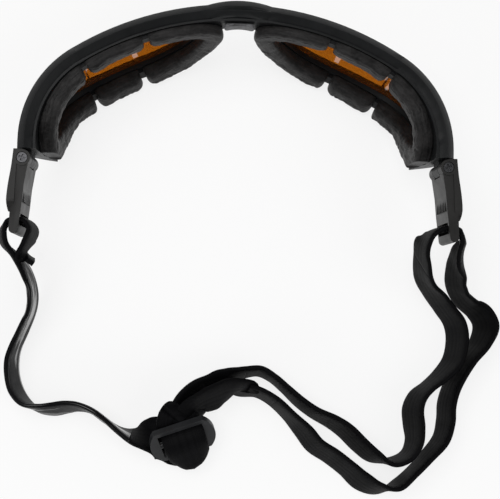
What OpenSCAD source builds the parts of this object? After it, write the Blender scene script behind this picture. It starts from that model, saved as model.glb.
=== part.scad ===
// Padded riding sunglasses with amber lenses, short strap arms and an elastic head strap.
// Millimetres, +Z up. The goggles stand on their lower rims with the wearer's side towards -Y.

/* [Frame] */
// Radius of the frame's front arc, seen from above
front_radius = 102; // [96:1:110]
// Angle from the nose to the end of the front arc
front_angle = 33; // [31:0.5:35]
// Radius of the frame's wrap at the temples
temple_radius = 37; // [34:0.5:40]
// Straight run of the frame behind the temple arc
temple_run = 2.9; // [2.5:0.1:4]
// Height of the frame from the lower rims to the brow ridge
frame_height = 40; // [39:0.5:42]
// Thickness of the frame from front to back
frame_depth = 5; // [4.6:0.1:5.6]
// How far the front leans back for each millimetre of height
front_lean = 0.1; // [0.06:0.01:0.14]
// Radius of the front's upright curve
upright_radius = 140; // [110:5:200]
// How far the brow bulges forward over the nose
bridge_bulge = 1.2; // [0.8:0.1:1.6]

/* [Lenses] */
// Thickness of each lens
lens_thickness = 2; // [1.8:0.1:2.2]
// Depth of the lens groove in the rims
groove_depth = 1.3; // [1:0.1:1.6]
// Clearance between lens and groove
lens_clearance = 0.1; // [0.05:0.05:0.2]

/* [Gasket] */
// Width of the foam pads across the rim
pad_width = 7.6; // [7:0.1:8]
// How far the pads stand out behind the frame at the inner brow
pad_top = 3.8; // [3.4:0.1:4.4]
// How far the pads stand out behind the frame at the cheek and temple
pad_bottom = 5.5; // [5:0.1:6.5]
// Thickness of the gasket carrier that the pads are bonded to
carrier_thickness = 1.2; // [1:0.1:1.5]
// Gap between pieces that are glued or seated on each other
seat_gap = 0.2; // [0.15:0.05:0.3]

/* [Arms] */
// Height of the strap arms
arm_height = 19; // [18.5:0.5:20]
// Distance from the hinge axis to the centre of the arm's tip bar
arm_reach = 23.4; // [22:0.2:26]
// Diameter of the hinge screw's shank
screw_d = 1.9; // [1.7:0.1:2.1]
// Running clearance on radius between shank and bore
hinge_clearance = 0.05; // [0.03:0.01:0.08]
// Diameter of the hinge screw's head
screw_head_d = 3.4; // [3.2:0.1:3.6]
// Height of the frame lug between the arm's two ears
lug_height = 8; // [7:0.5:9]
// Length of the strap slot along the arm
slot_length = 3.7; // [3.4:0.1:4]

/* [Strap] */
// Width of the elastic webbing
strap_width = 15; // [14:0.5:15]
// Thickness of the elastic webbing
strap_thickness = 1.6; // [1.2:0.1:1.8]

/* [Slider] */
// Thickness of the slider's frame
slider_thickness = 2.2; // [2:0.1:2.4]
// Width of each strap window, measured along the strap
slider_window = 4.5; // [4.3:0.1:4.8]
// Width of the slider's end rails
slider_rail = 1.8; // [1.6:0.1:2.2]
// Width of the slider's side tabs
slider_side = 3.6; // [3:0.2:4.2]
// Radius of the round centre bar
slider_bar_r = 1.1; // [1:0.05:1.2]

/* [Hidden] */
$fn = 48;

// Where the model's origin lies: under the middle of the whole object
centre_x = 8;
centre_y = -82.9;

// Plan curve of the frame: a front arc, a temple arc and a straight run, the same on both sides
temple_angle = 90 - front_angle;
temple_x = (front_radius - temple_radius) * sin(front_angle);
temple_y = -front_radius + (front_radius - temple_radius) * cos(front_angle);
front_length = front_radius * front_angle * PI / 180;
temple_length = temple_radius * temple_angle * PI / 180;
half_width = temple_x + temple_radius;
seam_y = temple_y - temple_run;

// The outlines and the strap's route are drawn for this frame, and follow another size in proportion
drawn_height = 40;
drawn_half_width = 72.4015;
wider = half_width / drawn_half_width;
taller = frame_height / drawn_height;
function fitted(pts) = [for (p = pts) [p[0] * wider, p[1] * taller]];

// A point on the plan curve: s runs along the frame from the nose, d is the depth behind its front
function plan_right(s, d) =
  s <= front_length
    ? [(front_radius - d) * sin(s / front_radius * 180 / PI),
       -front_radius + (front_radius - d) * cos(s / front_radius * 180 / PI)]
    : s <= front_length + temple_length
      ? let (a = front_angle + (s - front_length) / temple_radius * 180 / PI)
        [temple_x + (temple_radius - d) * sin(a), temple_y + (temple_radius - d) * cos(a)]
      : [half_width - d, temple_y - (s - front_length - temple_length)];

// Depth of the front face at height z: it leans back and is gently curved
mid_height = frame_height * 0.6;
function face_depth(z) = front_lean * (frame_height - z) + pow(z - mid_height, 2) / (2 * upright_radius);
function rear_depth(z) = face_depth(z) + 0.4 + frame_depth;

// Smooth closed and open curves through control points
function blend(a, b, c, d, t) =
  0.5 * (2 * b + (c - a) * t + (2 * a - 5 * b + 4 * c - d) * t * t + (3 * b - a - 3 * c + d) * t * t * t);
function closed_curve(pts, steps) =
  let (n = len(pts))
  [for (i = [0 : n - 1]) for (k = [0 : steps - 1])
    blend(pts[(i + n - 1) % n], pts[i], pts[(i + 1) % n], pts[(i + 2) % n], k / steps)];
function open_curve(pts, steps) =
  let (n = len(pts))
  concat([for (i = [0 : n - 2]) for (k = [0 : steps - 1])
    blend(pts[max(i - 1, 0)], pts[i], pts[i + 1], pts[min(i + 2, n - 1)], k / steps)], [pts[n - 1]]);

// Outline moved outwards by a distance, for grooves and seats
function grown(pts, distance) =
  let (n = len(pts))
  [for (i = [0 : n - 1])
    let (step = pts[(i + 1) % n] - pts[(i + n - 1) % n])
    pts[i] + distance * [-step[1], step[0]] / norm(step)];

// Lens opening of the right eye in front view, from the nose side up over the brow
lens_opening = fitted([
  [13.5, 28.5], [20, 31.8], [31, 32.6], [44, 32.5], [56, 31.4], [63.5, 27.6], [65.6, 22.5],
  [62.5, 15.5], [54, 10.2], [43, 8.4], [32, 9.2], [23.5, 13], [17, 20]
]);
opening_outline = closed_curve(lens_opening, 4);

// Lower edge of the frame in front view, from the nose to the temple
lower_edge = fitted([
  [0, 31.5], [4, 30.6], [7.4, 26.5], [10, 18.5], [15, 9.5], [21, 3.2], [28, 0], [33, -0.8],
  [44, -0.8], [50, 0.4], [58, 3.8], [65, 9.6], [69.5, 15.6], [72.5, 18.6], [80, 19]
]);

// Brow cross-section: a sloping outer facet, a ridge, an inner facet and a lip that hides the gasket
brow_low = frame_height - 7;
function brow_profile() = [
  [0.5, brow_low + 1.3], [0, brow_low + 2.6], [0.3, brow_low + 4.3], [2.3, frame_height - 0.5],
  [2.9, frame_height], [3.5, frame_height - 0.3], [frame_depth + 0.5, frame_height - 1.4],
  [frame_depth + 0.6, frame_height - 0.9], [frame_depth + 1.3, frame_height - 0.9],
  [frame_depth + 1.4, frame_height - 1.5]
];
face_steps = 5;
function front_side() = [for (i = [0 : face_steps])
  let (z = brow_low * i / face_steps) [face_depth(z) + 0.4, z]];
function rear_side() = [for (i = [face_steps : -1 : 0])
  let (z = brow_low * i / face_steps) [rear_depth(z), z]];
function frame_profile() = concat(front_side(), brow_profile(), rear_side());
function bridge_profile() =
  concat(brow_profile(), [[frame_depth + 1.3, brow_low - 0.4], [0.8, brow_low - 0.4]]);
bridge_radius = 34;
bridge_angle = 19;
// The temples stand this much proud of the front where they run into it
temple_proud = 0.04;
lens_setback = 1.7;
lens_low = 0.05 * frame_height;
lens_high = 0.925 * frame_height;
function lens_level(i) = lens_low + (lens_high - lens_low) * i / face_steps;
function lens_profile(extra) = concat(
  [for (i = [0 : face_steps]) [face_depth(lens_level(i)) + lens_setback - extra, lens_level(i)]],
  [for (i = [face_steps : -1 : 0])
    [face_depth(lens_level(i)) + lens_setback + lens_thickness + extra, lens_level(i)]]);

// Sweep a cross-section of [depth, height] points along the plan curve
module arc_sweep(radius, start, angle, profile) {
  rotate([0, 0, start])
    rotate_extrude(angle = angle, $fn = 180)
      polygon([for (p = profile) [radius - p[0], p[1]]]);
}
module front_sweep(profile) {
  translate([0, -front_radius, 0])
    arc_sweep(front_radius, 90 - front_angle, 2 * front_angle, profile);
}
module temple_sweep(profile) {
  proud = grown(profile, temple_proud);
  translate([temple_x, temple_y, 0]) arc_sweep(temple_radius, 0, temple_angle + 1, proud);
  translate([half_width, temple_y, 0])
    rotate([90, 0, 0])
      linear_extrude(height = temple_run)
        polygon([for (p = proud) [-p[0], p[1]]]);
}
module both_sides() {
  children();
  mirror([1, 0, 0]) children();
}
module front_cut(outline) {
  translate([0, bridge_bulge + 1, 0])
    rotate([90, 0, 0]) linear_extrude(height = 10 - seam_y) polygon(outline);
}
function frame_outline() =
  let (edge = open_curve(lower_edge, 4), side = edge[len(edge) - 1][0], top = frame_height + 5)
  concat(edge, [[side, top], [-side, top]],
    [for (i = [len(edge) - 1 : -1 : 1]) [-edge[i][0], edge[i][1]]]);

// Hinge of each strap arm: an upright axis just inside the frame's outer face
hinge_x = half_width - 2;
hinge_y = seam_y - 2.95;
arm_top = frame_height - 2;
arm_bottom = arm_top - arm_height;
arm_mid = arm_top - arm_height / 2;
hub_r = 2.7;
lug_r = 2.7;
bore_r = screw_d / 2 + hinge_clearance;

module hinge_lug() {
  translate([hinge_x, hinge_y, arm_mid - lug_height / 2]) {
    cylinder(r = lug_r, h = lug_height);
    translate([0.4 - lug_r, 0, 0]) cube([lug_r + 1, hub_r + 0.6, lug_height]);
  }
}

module frame_front() {
  color([0.09, 0.09, 0.1])
  difference() {
    union() {
      intersection() {
        union() {
          front_sweep(frame_profile());
          both_sides() temple_sweep(frame_profile());
        }
        front_cut(frame_outline());
      }
      translate([0, bridge_bulge - bridge_radius, 0])
        arc_sweep(bridge_radius, 90 - bridge_angle, 2 * bridge_angle, bridge_profile());
      both_sides() hinge_lug();
    }
    both_sides() {
      front_cut(opening_outline);
      lens_body(groove_depth, lens_clearance);
      translate([hinge_x, hinge_y, arm_bottom]) cylinder(r = bore_r, h = arm_height);
    }
  }
}

// A lens fills the opening and reaches into the groove all round
module lens_body(reach, clearance) {
  intersection() {
    union() {
      front_sweep(lens_profile(clearance));
      temple_sweep(lens_profile(clearance));
    }
    front_cut(grown(opening_outline, reach));
  }
}
module lens_right() {
  color([0.85, 0.45, 0.1, 0.7]) lens_body(groove_depth - lens_clearance, 0);
}
module lens_left() {
  mirror([1, 0, 0]) lens_right();
}

// Soft arch behind the bridge, between the two nose pads
module nose_bridge_pad() {
  color([0.35, 0.35, 0.36])
  translate([0, 0, brow_low - 1.2])
    linear_extrude(height = 6.2)
      difference() {
        translate([-5.2, -frame_depth - 5.4]) square([10.4, 3.7]);
        translate([0, -22]) circle(r = 14.4);
      }
}

// Path of the gasket around the right eye, as length along the frame and height
gasket_path = fitted([
  [9.6, 31], [15.5, 34.6], [27, 35.4], [42, 35.4], [58, 35.2], [73, 34.4], [87, 32.8], [94.6, 28.4],
  [93.4, 22], [85, 15], [72, 9], [60, 5.8], [46, 5], [33, 6], [23.5, 9.8], [16.5, 15.8], [11.6, 23]
]);
path_count = len(gasket_path);
function gasket_control(i) = gasket_path[(i + 2 * path_count) % path_count];
function path_at(t) =
  let (i = floor(t))
  blend(gasket_control(i - 1), gasket_control(i), gasket_control(i + 1), gasket_control(i + 2), t - i);
function path_side(t) =
  let (step = path_at(t + 0.05) - path_at(t - 0.05)) [-step[1], step[0]] / norm(step);

// A point of the gasket: t along the path, u across it, v out of the frame's rear face
function gasket_point(t, u, v) =
  let (p = path_at(t) + u * path_side(t), q = plan_right(p[0], rear_depth(p[1]) + v))
  [q[0], q[1], p[1]];
// The pads are thinner towards the brow, except at the temple
thin_from = 50 * wider;
thin_to = 62 * wider;
function pad_height(t) =
  let (p = path_at(t), inner = max(0, min(1, (thin_to - p[0]) / (thin_to - thin_from))))
  pad_bottom + (pad_top - pad_bottom) * inner * p[1] / (frame_height - 4);

// A closed skin over rings of points, with its ends joined or closed by a strip between each ring's halves
function ring_faces(rings, sides, closed) = concat(
  [for (i = [0 : (closed ? rings : rings - 1) - 1]) for (k = [0 : sides - 1]) for (half = [0, 1])
    let (a = i * sides + k, b = i * sides + (k + 1) % sides,
         c = ((i + 1) % rings) * sides + k, d = ((i + 1) % rings) * sides + (k + 1) % sides)
    half == 0 ? [a, b, d] : [a, d, c]],
  closed ? [] : [for (k = [0 : sides / 2 - 2]) for (half = [0, 1])
    half == 0 ? [k, sides - 2 - k, k + 1] : [k, sides - 1 - k, sides - 2 - k]],
  closed ? [] : [for (k = [0 : sides / 2 - 2]) for (half = [0, 1])
    let (base = (rings - 1) * sides)
    half == 0 ? [base + k, base + k + 1, base + sides - 2 - k]
      : [base + k, base + sides - 2 - k, base + sides - 1 - k]]);
module skin(rings, closed = false) {
  polyhedron(points = [for (r = rings) for (p = r) p],
    faces = ring_faces(len(rings), len(rings[0]), closed), convexity = 6);
}

carrier_rings = 68;
carrier_half = pad_width / 2 - 1.6;
module gasket_carrier() {
  color([0.2, 0.2, 0.21])
  skin([for (i = [0 : carrier_rings - 1])
    [for (c = [[-1, 0], [1, 0], [1, 1], [-1, 1]])
      gasket_point(i * path_count / carrier_rings, c[0] * carrier_half,
        seat_gap + c[1] * carrier_thickness)]], true);
}

// Cross-section of a pad as shares of its half width and height: a full crown over drawn-in sides
pad_crown = concat([[-0.9, 0]],
  [for (a = [165 : -37.5 : 15])
    [sign(cos(a)) * pow(abs(cos(a)), 0.75), 0.45 + 0.55 * pow(sin(a), 0.7)]],
  [[0.9, 0]]);
// The underside has a channel that fits over the carrier
pad_gap = 0.3;
channel_half = carrier_half + 0.35;
channel_top = seat_gap + carrier_thickness + 0.3;
pad_channel = concat([[channel_half, pad_gap]],
  [for (i = [2 : -1 : -2]) [i * channel_half / 2, channel_top]],
  [[-channel_half, pad_gap]]);
// The ends of a pad are rounded off over this share of its path
pad_round = 0.24;
function pad_ring(t, taper) =
  let (half = pad_width / 2 * (0.88 + 0.12 * taper), end_height = channel_top + 0.6,
       height = end_height + (pad_height(t) - end_height) * taper)
  concat(
    [for (c = pad_crown) gasket_point(t, c[0] * half, pad_gap + c[1] * (height - pad_gap))],
    [for (c = pad_channel) gasket_point(t, c[0], c[1])]);
// Each pad covers a stretch of the path, from one vent gap to the next
module pad(span) {
  rings = ceil((span[1] - span[0]) * 3);
  ends = [0, 0.25, 0.6];
  stops = concat(
    [for (e = ends) span[0] + e * pad_round],
    [for (i = [0 : rings]) span[0] + pad_round + (span[1] - span[0] - 2 * pad_round) * i / rings],
    [for (i = [2 : -1 : 0]) span[1] - ends[i] * pad_round]);
  color([0.2, 0.19, 0.2])
  skin([for (t = stops)
    let (near = min(1, (min(t - span[0], span[1] - t)) / pad_round))
    pad_ring(t, sqrt(1 - pow(1 - near, 2)))]);
}
pad_nose_span = [-4.38, 2.42];
pad_brow_span = [2.58, 3.96];
pad_temple_span = [4.1, 10.86];
pad_cheek_span = [11.04, 12.46];
module pad_nose_right() { pad(pad_nose_span); }
module pad_brow_right() { pad(pad_brow_span); }
module pad_temple_right() { pad(pad_temple_span); }
module pad_cheek_right() { pad(pad_cheek_span); }

// Strap arm for the right side, drawn about its hinge axis, with its rear end towards -Y
tip_x = 2.2;
function arm_wing() = concat(
  open_curve([[hub_r + 0.1, 2.85], [3.4, -3], [4.3, -9], [4.7, -14], [4.3, -17.6]], 3),
  [[3.2, -18.2], [2.2, -17], [2, -9], [1.4, 2.85]]);
function arm_bar() = concat(
  [[2.4, -2], [3, -9], [3.4, -15], [3.7, -arm_reach]],
  [[tip_x - 1.5, -arm_reach], [-0.3, -15], [-0.8, -9], [-1.9, -2]]);
module arm_side_outline() {
  r = 4.5;
  translate([-30, 0]) {
    translate([r, 0]) square([34 - r, arm_height]);
    translate([0, r]) square([34, arm_height - 2 * r]);
    translate([r, r]) circle(r = r);
    translate([r, arm_height - r]) circle(r = r);
  }
}
module arm_solid() {
  intersection() {
    linear_extrude(height = arm_height) {
      polygon(arm_wing());
      polygon([[2, 0], [2, 2.85], [0, 2.85], [-1.6, 1.8]]);
    }
    translate([-5, 11.8, 0]) rotate([90, 0, 90]) linear_extrude(height = 12) arm_side_outline();
  }
  translate([0, 0, 0.4]) linear_extrude(height = arm_height - 0.8) {
    polygon(arm_bar());
    translate([tip_x, -arm_reach]) circle(r = 1.5);
  }
  cylinder(r = hub_r, h = arm_height);
  for (z = [3.4 : 2.4 : arm_height - 3])
    translate([-0.8, -14.5, z]) rotate([0, 0, -2.5]) cube([1.2, 9, 1]);
}
ear_gap = 0.3;
module arm_right_local() {
  difference() {
    arm_solid();
    translate([0, 0, arm_height / 2 - lug_height / 2 - ear_gap])
      cylinder(r = lug_r + 0.5, h = lug_height + 2 * ear_gap);
    translate([-lug_r - 0.3, 0, arm_height / 2 - lug_height / 2 - ear_gap])
      cube([lug_r + 2.2, 4, lug_height + 2 * ear_gap]);
    translate([0, 0, -1]) cylinder(r = bore_r, h = arm_height + 2);
    translate([0, 0, arm_height - 1.3]) cylinder(d = screw_head_d + 0.3, h = 2);
    translate([-3, -arm_reach + 1.4, arm_height / 2 - strap_width / 2 - 0.3])
      cube([10, slot_length, strap_width + 0.6]);
  }
}
module at_hinge() {
  translate([hinge_x, hinge_y, arm_bottom]) children();
}
module arm_right() {
  color([0.1, 0.1, 0.11]) at_hinge() arm_right_local();
}
module arm_left() {
  mirror([1, 0, 0]) arm_right();
}

// Cross-head screw that pins the arm to the frame lug
module hinge_screw_right() {
  color([0.5, 0.5, 0.52]) at_hinge() {
    translate([0, 0, 1]) cylinder(d = screw_d, h = arm_height - 2.2);
    difference() {
      translate([0, 0, arm_height - 1.3]) cylinder(d = screw_head_d, h = 1.1);
      for (turn = [0, 90])
        rotate([0, 0, turn + 20]) translate([-1.1, -0.25, arm_height - 0.8]) cube([2.2, 0.5, 1]);
    }
  }
}
module hinge_screw_left() {
  mirror([1, 0, 0]) hinge_screw_right();
}

// The slider hangs tilted on the doubled strap
slider_at = [-16.4 * wider, -146.6 * wider, strap_width / 2 + 4.5];
slider_turn = 19;
slider_tilt = 45;
slider_half = slider_bar_r + slider_window + slider_rail;
// A point in the slider's own axes: along the strap, and out of the slider's face
function slider_point(along, out) = slider_at + [
  (along * cos(slider_tilt) + out * sin(slider_tilt)) * sin(slider_turn),
  -(along * cos(slider_tilt) + out * sin(slider_tilt)) * cos(slider_turn),
  out * cos(slider_tilt) - along * sin(slider_tilt)];
module strap_slider() {
  width = strap_width + 1;
  color([0.24, 0.24, 0.26])
  translate(slider_at) rotate([0, 0, slider_turn]) rotate([slider_tilt, 0, 0]) {
    translate([0, 0, -slider_thickness / 2])
      linear_extrude(height = slider_thickness)
        difference() {
          union() {
            square([width, 2 * slider_half], center = true);
            for (side = [-1, 1])
              translate([side * width / 2, 0])
                intersection() {
                  square([2 * slider_side, 2 * slider_half], center = true);
                  translate([side * (slider_side - 11), 0]) circle(r = 11, $fn = 96);
                }
          }
          square([width, 2 * (slider_bar_r + slider_window)], center = true);
        }
    rotate([0, 90, 0]) cylinder(r = slider_bar_r, h = width + 1, center = true);
  }
}

// Route of the strap: centre of the webbing, then the heading and rise of its width
loop_z = arm_mid;
slot_x = hinge_x + tip_x;
slot_y = hinge_y - arm_reach + 1.4 + slot_length / 2;
// Height of the webbing's middle where its edge rests on the surface
lie = strap_width / 2 + 0.1;
function laid(route) = [for (p = route) [p[0] * wider, p[1] * wider, p[2], p[3], p[4]]];
// Webbing that rests on one edge: where it stands, then the heading and rise of its width
function resting(route) = [for (p = route)
  [p[0] * wider, p[1] * wider,
    strap_width / 2 * sin(p[3]) + strap_thickness / 2 * cos(p[3]) + 0.1, p[2], p[3]]];
// The webbing's width stands upright at the slots
function at_slot(side, out, back, down) = [side * (slot_x + out), slot_y - back, loop_z - down, 0, 90];
function route_left_loop() = [
  at_slot(-1, -5, 13.5, 3), at_slot(-1, -2, 10.9, 2), at_slot(-1, -3.6, 7.1, 0),
  at_slot(-1, -5, 3.1, 0), at_slot(-1, -3.2, 0.4, 0), at_slot(-1, 0, 0, 0),
  at_slot(-1, 3.2, 0.7, 0), at_slot(-1, 4.9, 3.5, 0), at_slot(-1, 4.4, 7.5, 0.5),
  at_slot(-1, 1.6, 11.1, 2)
];
function route_left_run() = concat(
  laid([
    [-71.8, -88.6, loop_z - 5.5, 0, 90], [-70.2, -92.8, loop_z - 11, 0, 90],
    [-69.7, -98, lie + 4.9, 0, 90], [-70.6, -103.7, lie + 1, 165, 88]]),
  resting([
    [-73.2, -110.4, 157, 86], [-75.5, -115.9, 161, 85], [-76.6, -120.5, 178, 83],
    [-76.4, -125.8, 194, 83], [-74.9, -130.9, 211, 83], [-71.7, -135.1, 231, 88],
    [-67, -137.3, 75, 78], [-62, -137.5, 95, 72], [-57.5, -136.7, 96, 73],
    [-53.4, -136.5, 77, 77], [-48.5, -137.8, 60, 82], [-43.8, -141, 55, 82],
    [-39, -144.6, 57, 88]])
);
slider_width_heading = 180 + slider_turn;
function on_slider(along, out) =
  concat(slider_point(along, out), [slider_width_heading, 0]);
function route_fold() = concat(
  laid([
    [-34.4, -147.4, lie - 0.3, 263, 66], [-30, -149.2, lie - 1.8, 256, 38],
    [-26, -151, lie - 4, 244, 16], [-22, -152.8, 2.4, 230, 5], [-18.4, -154.2, 2.1, 212, 0],
    [-15.8, -155.6, 3, 200, 0], [-14.7, -156.7, 4.6, slider_width_heading, 0],
    [-14.2, -156.9, 6, slider_width_heading, 0], [-14.1, -155.8, 7.5, slider_width_heading, 0]]),
  [on_slider(8, 2.7), on_slider(6, 3), on_slider(3.2, 4), on_slider(0.3, 4.3),
    on_slider(-2.3, 3.8), on_slider(-3.9, 2.1), on_slider(-4.3, 0.2), on_slider(-4.55, -1.3),
    on_slider(-5.5, -2.2)]);
// Both plies near the slider: the inner one from the slider outwards, and the outer one beside it
function route_near() = concat(
  [on_slider(-6.5, -5.2), on_slider(-9.5, -5.6)],
  laid([
    [-19.6, -132.4, lie + 8, 186, 6], [-16.2, -128.4, lie + 7, 160, 20],
    [-11.2, -126.2, lie + 4.8, 136, 38], [-6.4, -125.2, lie + 2.4, 120, 56],
    [-2, -124.4, lie + 0.8, 108, 68], [4, -123.8, lie + 0.2, 90, 74]]));
ply_gap = [0, 2.9, 3.8, 4.8, 4.6, 4.6, 5];
function beside(route, i) =
  let (p = route[i], step = route[i + 1] - route[i - 1], lean = rise_vector(p),
       ahead = unit([step[0], step[1], step[2]]), across = unit(lean - (lean * ahead) * ahead),
       out = ply_gap[i] * cross(ahead, across))
  [p[0] + out[0], p[1] + out[1], p[2] + out[2], p[3], p[4]];
function route_lead() = concat(
  [on_slider(-6.8, -2.45)],
  [for (i = [1 : len(ply_gap) - 1]) beside(route_near(), i)],
  laid([[3.8, -129.8, lie + 0.6, 94, 72], [9.4, -130.7, lie + 0.1, 70, 76]]));
function route_outer() = concat(
  resting([
    [15.5, -133.7, 46, 76], [21.1, -138.8, 43, 75], [26.2, -144.1, 43, 68], [30.3, -149, 50, 66],
    [36, -152.6, 54, 66], [41.9, -157, 56, 66], [47.3, -161.5, 67, 62], [53, -163.7, 90, 70],
    [59.3, -162.6, 300, 88], [64.9, -157.8, 313, 88], [70, -152.3, 320, 86],
    [74.9, -146.3, 332, 82], [76.6, -139.8, 347, 79], [76.9, -134.1, 353, 79],
    [78.3, -128.8, 343, 80], [80.9, -123.4, 328, 80], [84.6, -117.5, 323, 79],
    [88.8, -112, 333, 75], [90.9, -106, 0, 68]]),
  laid([
    [88.5, -101.1, lie, 32, 69], [83.6, -97.5, lie + 1, 44, 76], [79.5, -93.1, lie + 4.4, 40, 80],
    [77.2, -88.5, loop_z - 11.5, 22, 82], [76.4, -84.4, loop_z - 6, 8, 86]])
);
function route_right_loop() = [
  at_slot(1, 4.4, 7.1, 1.4), at_slot(1, 4.8, 3.5, 0), at_slot(1, 3.2, 0.7, 0), at_slot(1, 0, 0, 0),
  at_slot(1, -3.2, 0.1, 0), at_slot(1, -6.6, 1.9, 0), at_slot(1, -8.7, 5.9, 1.6)
];
function route_inner() = concat(
  laid([
    [64, -84.5, loop_z - 6.5, 22, 86], [66.6, -90.2, loop_z - 12.5, 30, 83],
    [71.6, -95.5, lie + 3.4, 41, 78], [76.3, -100.2, lie + 0.8, 40, 75]]),
  resting([
    [80, -105, 20, 72], [81, -111.2, 355, 73], [79.3, -118.4, 333, 74], [74.9, -123.6, 317, 80],
    [70.2, -127.7, 314, 84], [66.5, -131.4, 332, 78], [64.9, -136.1, 356, 73],
    [65.3, -141.5, 3, 72], [65.4, -147.2, 350, 78], [62.8, -152.2, 317, 85],
    [57.5, -154.4, 274, 89], [51.4, -152.7, 66, 72], [46.2, -148.7, 55, 69],
    [41.2, -143.9, 56, 69], [36.3, -140.6, 62, 71], [29.8, -137.4, 61, 75],
    [24.6, -133.8, 55, 77], [19.5, -129.3, 51, 80], [15, -125.6, 57, 80], [10.2, -123, 72, 77]])
);
// The end of the webbing is turned round the slider's centre bar, under the fold
wrap_r = slider_bar_r + strap_thickness / 2 + 0.3;
function route_end() = concat(
  [for (i = [len(route_near()) - 1 : -1 : 0]) route_near()[i]],
  [on_slider(-4.4, -5), on_slider(-2, -4.5), on_slider(-0.1, -3.3)],
  [for (a = [-50 : 40 : 230]) on_slider(wrap_r * cos(a), wrap_r * sin(a))]);

function unit(v) = v / norm(v);
function rise_vector(p) = [cos(p[3]) * cos(p[4]), sin(p[3]) * cos(p[4]), sin(p[4])];
route_steps = 2;
routes = [route_left_loop(), route_left_run(), route_fold(), route_lead(), route_outer(),
  route_right_loop(), route_inner(), route_end()];
strap_control = [for (r = routes) for (p = r) concat([p[0], p[1], p[2]], rise_vector(p))];
strap_curve = open_curve(strap_control, route_steps);
function strap_ring(i) =
  let (p = strap_curve[i], here = [p[0], p[1], p[2]],
       a = strap_curve[max(i - 1, 0)], b = strap_curve[min(i + 1, len(strap_curve) - 1)],
       ahead = unit([b[0] - a[0], b[1] - a[1], b[2] - a[2]]), lean = [p[3], p[4], p[5]],
       across = unit(lean - (lean * ahead) * ahead), out = cross(ahead, across))
  [for (c = [[-1, -1], [1, -1], [1, 1], [-1, 1]])
    here + c[0] * strap_width / 2 * across + c[1] * strap_thickness / 2 * out];
function route_start(k) = k == 0 ? 0 : route_start(k - 1) + len(routes[k - 1]) * route_steps;
module webbing(k) {
  last = min(route_start(k + 1), len(strap_curve) - 1);
  color([0.05, 0.05, 0.06])
    skin([for (i = [route_start(k) : last]) strap_ring(i)]);
}
module strap_loop_left() { webbing(0); }
module strap_run_left() { webbing(1); }
module strap_fold() { webbing(2); }
module strap_lead() { webbing(3); }
module strap_ply_outer() { webbing(4); }
module strap_loop_right() { webbing(5); }
module strap_ply_inner() { webbing(6); }
module strap_end() { webbing(7); }

module gasket_carrier_left() { mirror([1, 0, 0]) gasket_carrier(); }
module gasket_carrier_right() { gasket_carrier(); }
module pad_nose_left() { mirror([1, 0, 0]) pad_nose_right(); }
module pad_brow_left() { mirror([1, 0, 0]) pad_brow_right(); }
module pad_temple_left() { mirror([1, 0, 0]) pad_temple_right(); }
module pad_cheek_left() { mirror([1, 0, 0]) pad_cheek_right(); }

module placed() {
  translate([-centre_x, -centre_y, 0]) children();
}
placed() frame_front();
placed() lens_left();
placed() lens_right();
placed() nose_bridge_pad();
placed() gasket_carrier_left();
placed() gasket_carrier_right();
placed() pad_nose_left();
placed() pad_brow_left();
placed() pad_temple_left();
placed() pad_cheek_left();
placed() pad_nose_right();
placed() pad_brow_right();
placed() pad_temple_right();
placed() pad_cheek_right();
placed() arm_left();
placed() arm_right();
placed() hinge_screw_left();
placed() hinge_screw_right();
placed() strap_loop_left();
placed() strap_run_left();
placed() strap_fold();
placed() strap_lead();
placed() strap_ply_outer();
placed() strap_loop_right();
placed() strap_ply_inner();
placed() strap_end();
placed() strap_slider();
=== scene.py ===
"""Looks of the padded riding sunglasses.

They have a frame, amber lenses, a foam gasket, strap arms, an elastic strap and a slider. The shapes
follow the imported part. Lengths are written in millimetres in the part's own drawing frame, with the nose at
x = 0 and the frame's front at y = 0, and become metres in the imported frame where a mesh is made.
"""
from __future__ import annotations

import logging
import math
from dataclasses import dataclass, field
from enum import Enum

import bmesh
import bpy
import numpy as np
from mathutils import Matrix, Vector


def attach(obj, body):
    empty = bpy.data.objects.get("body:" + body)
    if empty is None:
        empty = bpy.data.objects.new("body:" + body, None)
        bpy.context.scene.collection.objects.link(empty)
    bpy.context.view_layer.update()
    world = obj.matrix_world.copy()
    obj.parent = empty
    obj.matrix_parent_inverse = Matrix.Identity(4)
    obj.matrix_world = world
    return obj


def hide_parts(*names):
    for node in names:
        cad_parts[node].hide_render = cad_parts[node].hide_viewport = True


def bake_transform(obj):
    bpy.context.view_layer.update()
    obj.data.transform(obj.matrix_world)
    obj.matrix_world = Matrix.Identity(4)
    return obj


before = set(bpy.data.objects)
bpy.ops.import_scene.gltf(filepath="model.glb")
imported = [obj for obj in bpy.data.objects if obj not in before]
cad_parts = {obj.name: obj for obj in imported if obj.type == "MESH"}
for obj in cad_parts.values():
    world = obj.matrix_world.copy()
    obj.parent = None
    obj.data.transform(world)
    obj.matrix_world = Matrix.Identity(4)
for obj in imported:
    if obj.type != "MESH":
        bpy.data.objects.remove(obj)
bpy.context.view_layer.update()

# Short names for Blender's own types
Socket = bpy.types.NodeSocket
Material = bpy.types.Material
Piece = bpy.types.Object

log = logging.getLogger("goggles")
MM = 0.001
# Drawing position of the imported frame's origin
CENTRE = np.array([8.0, -82.9, 0.0])
# Corners of a CAD node that lie this close, in metres, are one corner
MERGE = 2e-6
# Edges of a CAD node shorter than this, in metres, are dropped
SPECK = 1e-6
# Faces of a CAD node that meet at less than this angle, in degrees, are one flat face
FLAT = 0.5


class Side(Enum):
    """The two halves of the goggles."""

    LEFT = -1
    RIGHT = 1

    @property
    def word(self) -> str:
        """The side's name as it ends a node's name."""
        return self.name.lower()


class Skin(Enum):
    """How fine a moulded surface's grain is, in features per metre."""

    FINE = 5200
    COARSE = 2600


# Materials


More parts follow.
